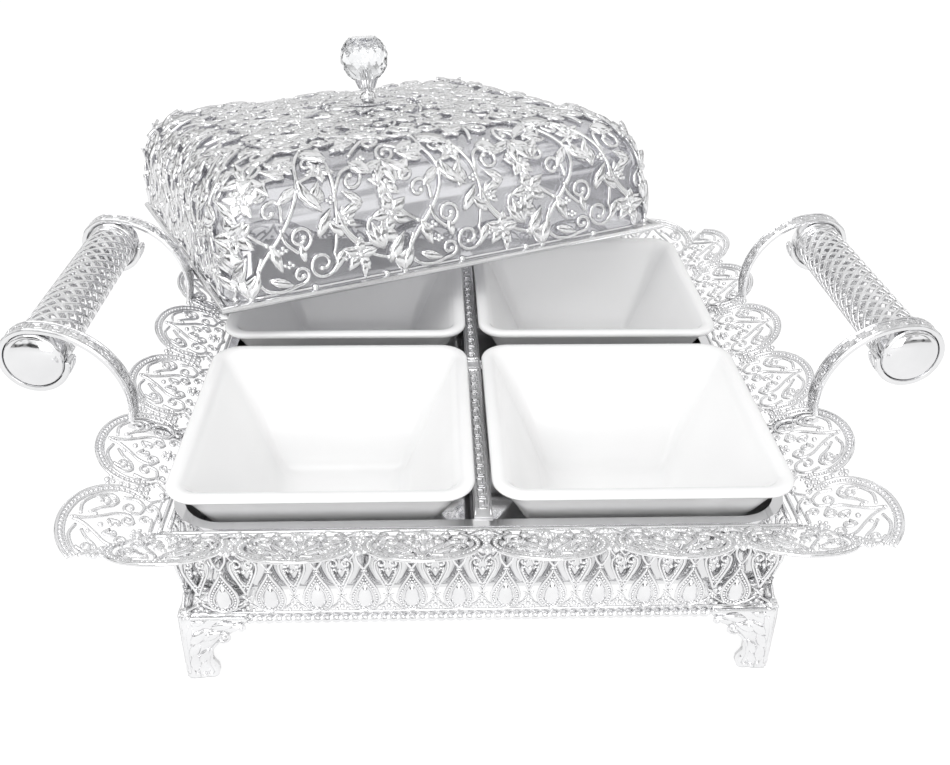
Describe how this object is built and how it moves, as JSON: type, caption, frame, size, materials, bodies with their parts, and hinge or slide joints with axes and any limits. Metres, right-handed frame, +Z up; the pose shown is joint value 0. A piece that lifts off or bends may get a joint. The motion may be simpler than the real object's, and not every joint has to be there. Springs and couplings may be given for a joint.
{
  "type": "candy box",
  "caption": "Square footed serving box with openwork gallery, lace flange, lattice handles, lift-out porcelain bowls and a domed scrollwork lid lying askew.",
  "frame": {"origin": "on the floor under the centre of the tray's four feet", "axes": "+Z up, +X to the right handle, -Y to the front"},
  "size_m": [0.446, 0.513, 0.2206],
  "materials": {
    "polished_plate": "mirror polished",
    "cast_plate": "bright plated casting",
    "bright_fittings": "bright plated",
    "porcelain": "glossy white glaze",
    "clear_acrylic": "clear gloss",
    "cut_crystal": "faceted, clear"
  },
  "bodies": {
    "tray": {"pan": "polished_plate", "handle_rivets": "bright_fittings", "foot_screws": "bright_fittings", "divider_lengthwise": "polished_plate", "divider_crosswise": "polished_plate", "frieze_front": "cast_plate", "frieze_right": "cast_plate", "frieze_back": "cast_plate", "frieze_left": "cast_plate", "rope_moulding_front": "cast_plate", "rope_moulding_right": "cast_plate", "rope_moulding_back": "cast_plate", "rope_moulding_left": "cast_plate", "lace_front": "cast_plate", "lace_right": "cast_plate", "lace_back": "cast_plate", "lace_left": "cast_plate", "foot_front_right": "cast_plate", "foot_back_right": "cast_plate", "foot_back_left": "cast_plate", "foot_front_left": "cast_plate", "handle_strap_left_front": "bright_fittings", "handle_strap_left_back": "bright_fittings", "handle_strap_right_front": "bright_fittings", "handle_strap_right_back": "bright_fittings", "handle_cap_left_front": "bright_fittings", "handle_cap_left_back": "bright_fittings", "handle_cap_right_front": "bright_fittings", "handle_cap_right_back": "bright_fittings", "grip_lattice_left": "cast_plate", "grip_lattice_right": "cast_plate", "grip_tie_rod_left": "cast_plate", "grip_tie_rod_right": "cast_plate"},
    "lid": {"lid_dome": "clear_acrylic", "lid_rim_wire": "bright_fittings", "lid_scrolls_front": "cast_plate", "lid_scrolls_right": "cast_plate", "lid_scrolls_back": "cast_plate", "lid_scrolls_left": "cast_plate", "lid_scrolls_top": "cast_plate", "knob_stem": "bright_fittings", "knob_collar": "bright_fittings", "crystal_ball": "cut_crystal", "knob_washer": "bright_fittings", "knob_nut": "bright_fittings"},
    "bowl_front_left": {"bowl_front_left": "porcelain"},
    "bowl_front_right": {"bowl_front_right": "porcelain"},
    "bowl_back_left": {"bowl_back_left": "porcelain"},
    "bowl_back_right": {"bowl_back_right": "porcelain"}
  },
  "joints": [
    {"name": "lid_lift", "type": "slide", "parent": "tray", "child": "lid", "axis": [0, 0, 1], "range_m": [0, 0.2]},
    {"name": "bowl_front_left_lift", "type": "slide", "parent": "tray", "child": "bowl_front_left", "axis": [0, 0, 1], "range_m": [0, 0.1]},
    {"name": "bowl_front_right_lift", "type": "slide", "parent": "tray", "child": "bowl_front_right", "axis": [0, 0, 1], "range_m": [0, 0.1]},
    {"name": "bowl_back_left_lift", "type": "slide", "parent": "tray", "child": "bowl_back_left", "axis": [0, 0, 1], "range_m": [0, 0.08]},
    {"name": "bowl_back_right_lift", "type": "slide", "parent": "tray", "child": "bowl_back_right", "axis": [0, 0, 1], "range_m": [0, 0.08]}
  ],
  "couplings": [
    {"joint": "bowl_back_left_lift", "follows": "lid_lift", "ratio": 0.4},
    {"joint": "bowl_back_right_lift", "follows": "lid_lift", "ratio": 0.4}
  ]
}
